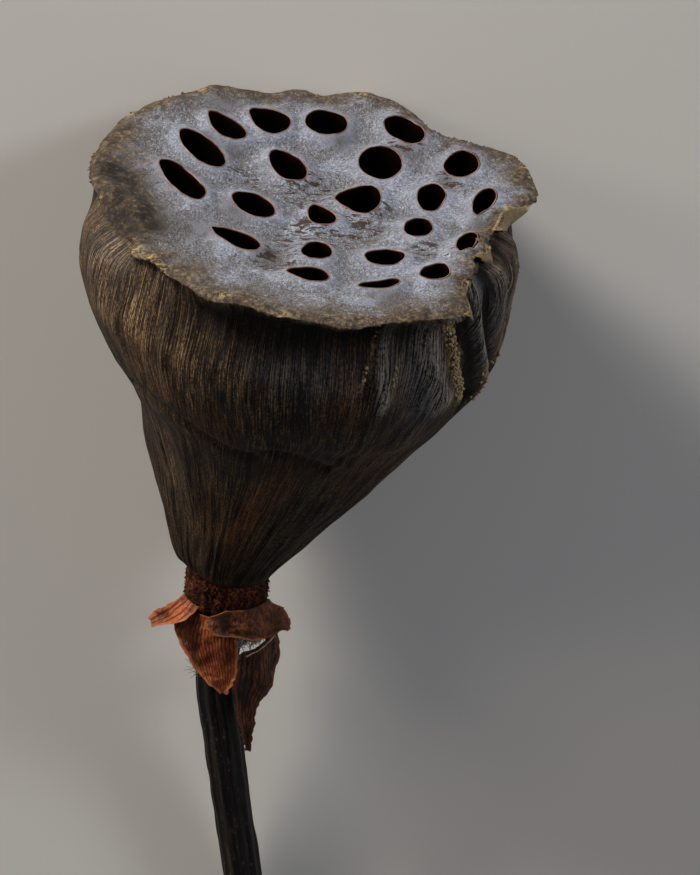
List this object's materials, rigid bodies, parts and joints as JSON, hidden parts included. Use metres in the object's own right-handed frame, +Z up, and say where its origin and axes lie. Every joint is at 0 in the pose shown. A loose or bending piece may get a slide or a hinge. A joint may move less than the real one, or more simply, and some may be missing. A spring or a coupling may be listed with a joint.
{
  "type": "dried lotus pod",
  "caption": "Dried lotus seed pod with a dished, pitted disc, a waved rim, a collar of stamen scars, papery tepal remnants and a cut stalk, lying on its side.",
  "frame": {"origin": "on the surface that the pod lies on, under the middle of its box", "axes": "+Y along the stalk, from the seed disc to the cut end; +Z up from the surface; +X across the pod"},
  "size_m": [0.1012, 0.2076, 0.0965],
  "materials": {
    "pod": "matte",
    "collar": "matte",
    "stalk": "matte",
    "tepal": "matte"
  },
  "bodies": {
    "root": {"receptacle": "pod", "stamen_ring": "collar", "stalk": "stalk", "tepal_front": "tepal", "tepal_long": "tepal", "tepal_left": "tepal", "tepal_right": "tepal"}
  },
  "joints": []
}
